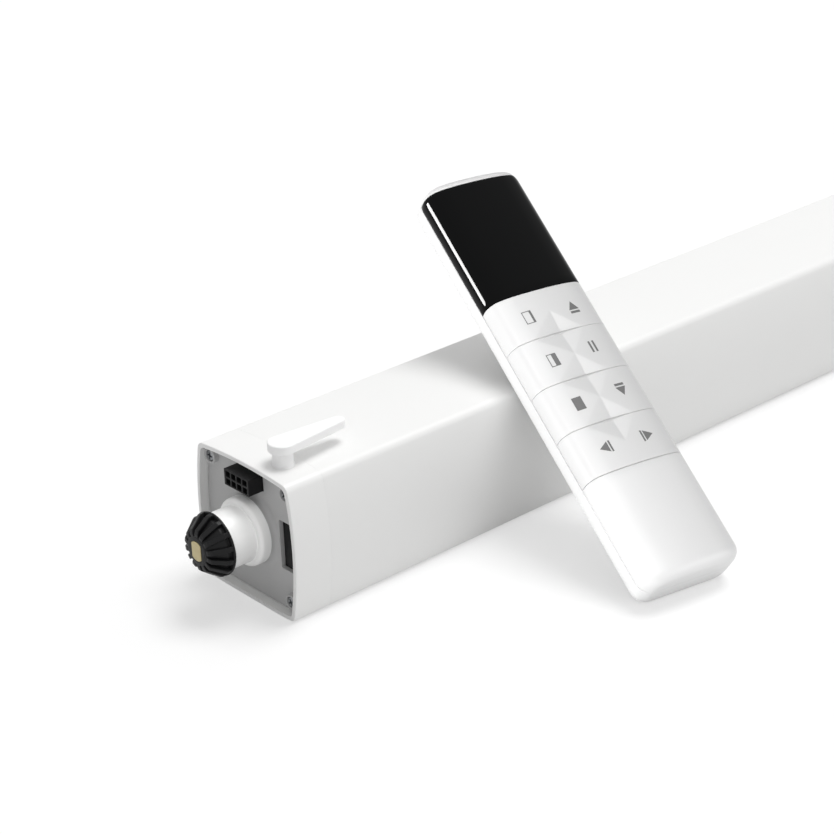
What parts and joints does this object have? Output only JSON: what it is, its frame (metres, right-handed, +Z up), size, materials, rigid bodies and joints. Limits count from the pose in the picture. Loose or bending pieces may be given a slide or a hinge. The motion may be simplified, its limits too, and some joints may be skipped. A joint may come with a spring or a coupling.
{
  "type": "vertical blind drive unit with remote",
  "caption": "Box-section electric drive unit of a motorized vertical blind with a ribbed cone drive, plug socket and lock lever, and its leaning remote control.",
  "frame": {"origin": "centre of the drive axis, in the plane of the drive end's rim", "axes": "+X along the unit from the drive end to the far end, +Z up, -Y towards the remote"},
  "size_m": [0.3806, 0.1485, 0.1098],
  "materials": {
    "tube_paint": "white powder coat, fine satin",
    "white_plastic": "moulded ABS, satin",
    "plate_plastic": "moulded, light grey, fine texture",
    "black_nylon": "glass-filled nylon, moulded",
    "brass": "turned",
    "steel": "zinc plated",
    "die_cast": "die-cast",
    "sintered": "sintered bronze",
    "gear_plastic": "acetal",
    "copper": "enamelled copper wire",
    "magnet": "ferrite",
    "rubber": "moulded",
    "circuit_board": "solder mask",
    "board_parts": "moulded packages",
    "remote_white": "moulded ABS, satin",
    "key_plastic": "moulded ABS, printed symbols",
    "black_lens": "polished acrylic, black behind",
    "status_window": "clear acrylic light pipe",
    "silicone": "silicone",
    "cell_jacket": "plain coloured sleeve"
  },
  "bodies": {
    "housing": {"motor_tube": "tube_paint", "drive_cap": "white_plastic", "end_plate": "plate_plastic", "plate_screws": "steel", "bearing_boss": "white_plastic", "front_bush": "sintered", "track_connector": "black_nylon", "connector_contacts": "brass", "service_port": "black_nylon", "lever_post": "white_plastic", "wave_washer": "steel", "gear_case": "die_cast", "rear_bush": "sintered", "gear_case_cover": "die_cast", "case_screws": "steel", "layshaft_pin": "steel", "motor_can": "steel", "motor_magnets": "magnet", "motor_brushes": "board_parts", "motor_end_bell": "black_nylon", "sensor_board": "circuit_board", "isolator_rings": "rubber", "power_board": "circuit_board", "transformer": "magnet", "transformer_winding": "copper", "power_parts": "board_parts", "control_board": "circuit_board", "control_parts": "board_parts", "far_cap": "white_plastic", "far_cap_screws": "steel", "status_lens": "status_window"},
    "rotor": {"motor_rotor": "steel", "motor_windings": "copper", "motor_pinion": "brass", "encoder_ring": "magnet"},
    "layshaft": {"layshaft_cluster": "gear_plastic"},
    "drive": {"drive_cone": "black_nylon", "output_shaft": "brass", "shaft_clip": "steel", "output_gear": "gear_plastic"},
    "lever": {"lock_lever": "white_plastic", "lock_spindle": "steel", "lock_cam": "gear_plastic"},
    "pairing_button": {"pairing_button": "white_plastic"},
    "remote": {"remote_back_shell": "remote_white", "remote_grip_shell": "remote_white", "remote_lens": "black_lens", "key_mat": "silicone", "remote_board": "circuit_board", "display_module": "board_parts", "battery_cells": "cell_jacket", "battery_springs": "steel", "shell_screws": "steel"},
    "key_row_1": {"key_row_1": "key_plastic"},
    "key_row_2": {"key_row_2": "key_plastic"},
    "key_row_3": {"key_row_3": "key_plastic"},
    "key_row_4": {"key_row_4": "key_plastic"},
    "battery_door": {"battery_door": "remote_white"}
  },
  "joints": [
    {"name": "rotor_spin", "type": "hinge", "parent": "housing", "child": "rotor", "pos_m": [0.07, 0, 0], "axis": [1, 0, 0], "continuous": true},
    {"name": "layshaft_spin", "type": "hinge", "parent": "housing", "child": "layshaft", "pos_m": [0.03, 0, -0.011], "axis": [1, 0, 0], "continuous": true},
    {"name": "drive_spin", "type": "hinge", "parent": "housing", "child": "drive", "pos_m": [0, 0, 0], "axis": [1, 0, 0], "continuous": true},
    {"name": "lever_turn", "type": "hinge", "parent": "housing", "child": "lever", "pos_m": [0.009, -0.0112, 0.03], "axis": [0, 0, 1], "range_deg": [0, 90]},
    {"name": "pairing_press", "type": "slide", "parent": "housing", "child": "pairing_button", "axis": [-1, 0, 0], "range_m": [0, 0.0006], "stiffness_N_per_m": 2000, "springref_m": -0.0002},
    {"name": "remote_lift", "type": "slide", "parent": "housing", "child": "remote", "axis": [-0.1031, -0.5671, 0.8171], "range_m": [0, 0.08]},
    {"name": "key_row_1_rock", "type": "hinge", "parent": "remote", "child": "key_row_1", "pos_m": [0.12128, -0.01924, 0.04519], "axis": [0.1461, 0.804, 0.5764], "range_deg": [-1, 1], "stiffness_Nm_per_rad": 0.6},
    {"name": "key_row_2_rock", "type": "hinge", "parent": "remote", "child": "key_row_2", "pos_m": [0.11858, -0.03409, 0.03454], "axis": [0.1461, 0.804, 0.5764], "range_deg": [-1, 1], "stiffness_Nm_per_rad": 0.6},
    {"name": "key_row_3_rock", "type": "hinge", "parent": "remote", "child": "key_row_3", "pos_m": [0.11588, -0.04894, 0.02389], "axis": [0.1461, 0.804, 0.5764], "range_deg": [-1, 1], "stiffness_Nm_per_rad": 0.6},
    {"name": "key_row_4_rock", "type": "hinge", "parent": "remote", "child": "key_row_4", "pos_m": [0.11318, -0.06379, 0.01325], "axis": [0.1461, 0.804, 0.5764], "range_deg": [-1, 1], "stiffness_Nm_per_rad": 0.6},
    {"name": "battery_door_hinge", "type": "hinge", "parent": "remote", "child": "battery_door", "pos_m": [0.10774, -0.09374, -0.02303], "axis": [-0.9839, 0.1788, 0], "range_deg": [0, 25]}
  ],
  "couplings": [
    {"joint": "layshaft_spin", "follows": "rotor_spin", "ratio": -0.29412},
    {"joint": "drive_spin", "follows": "rotor_spin", "ratio": 0.086505}
  ]
}
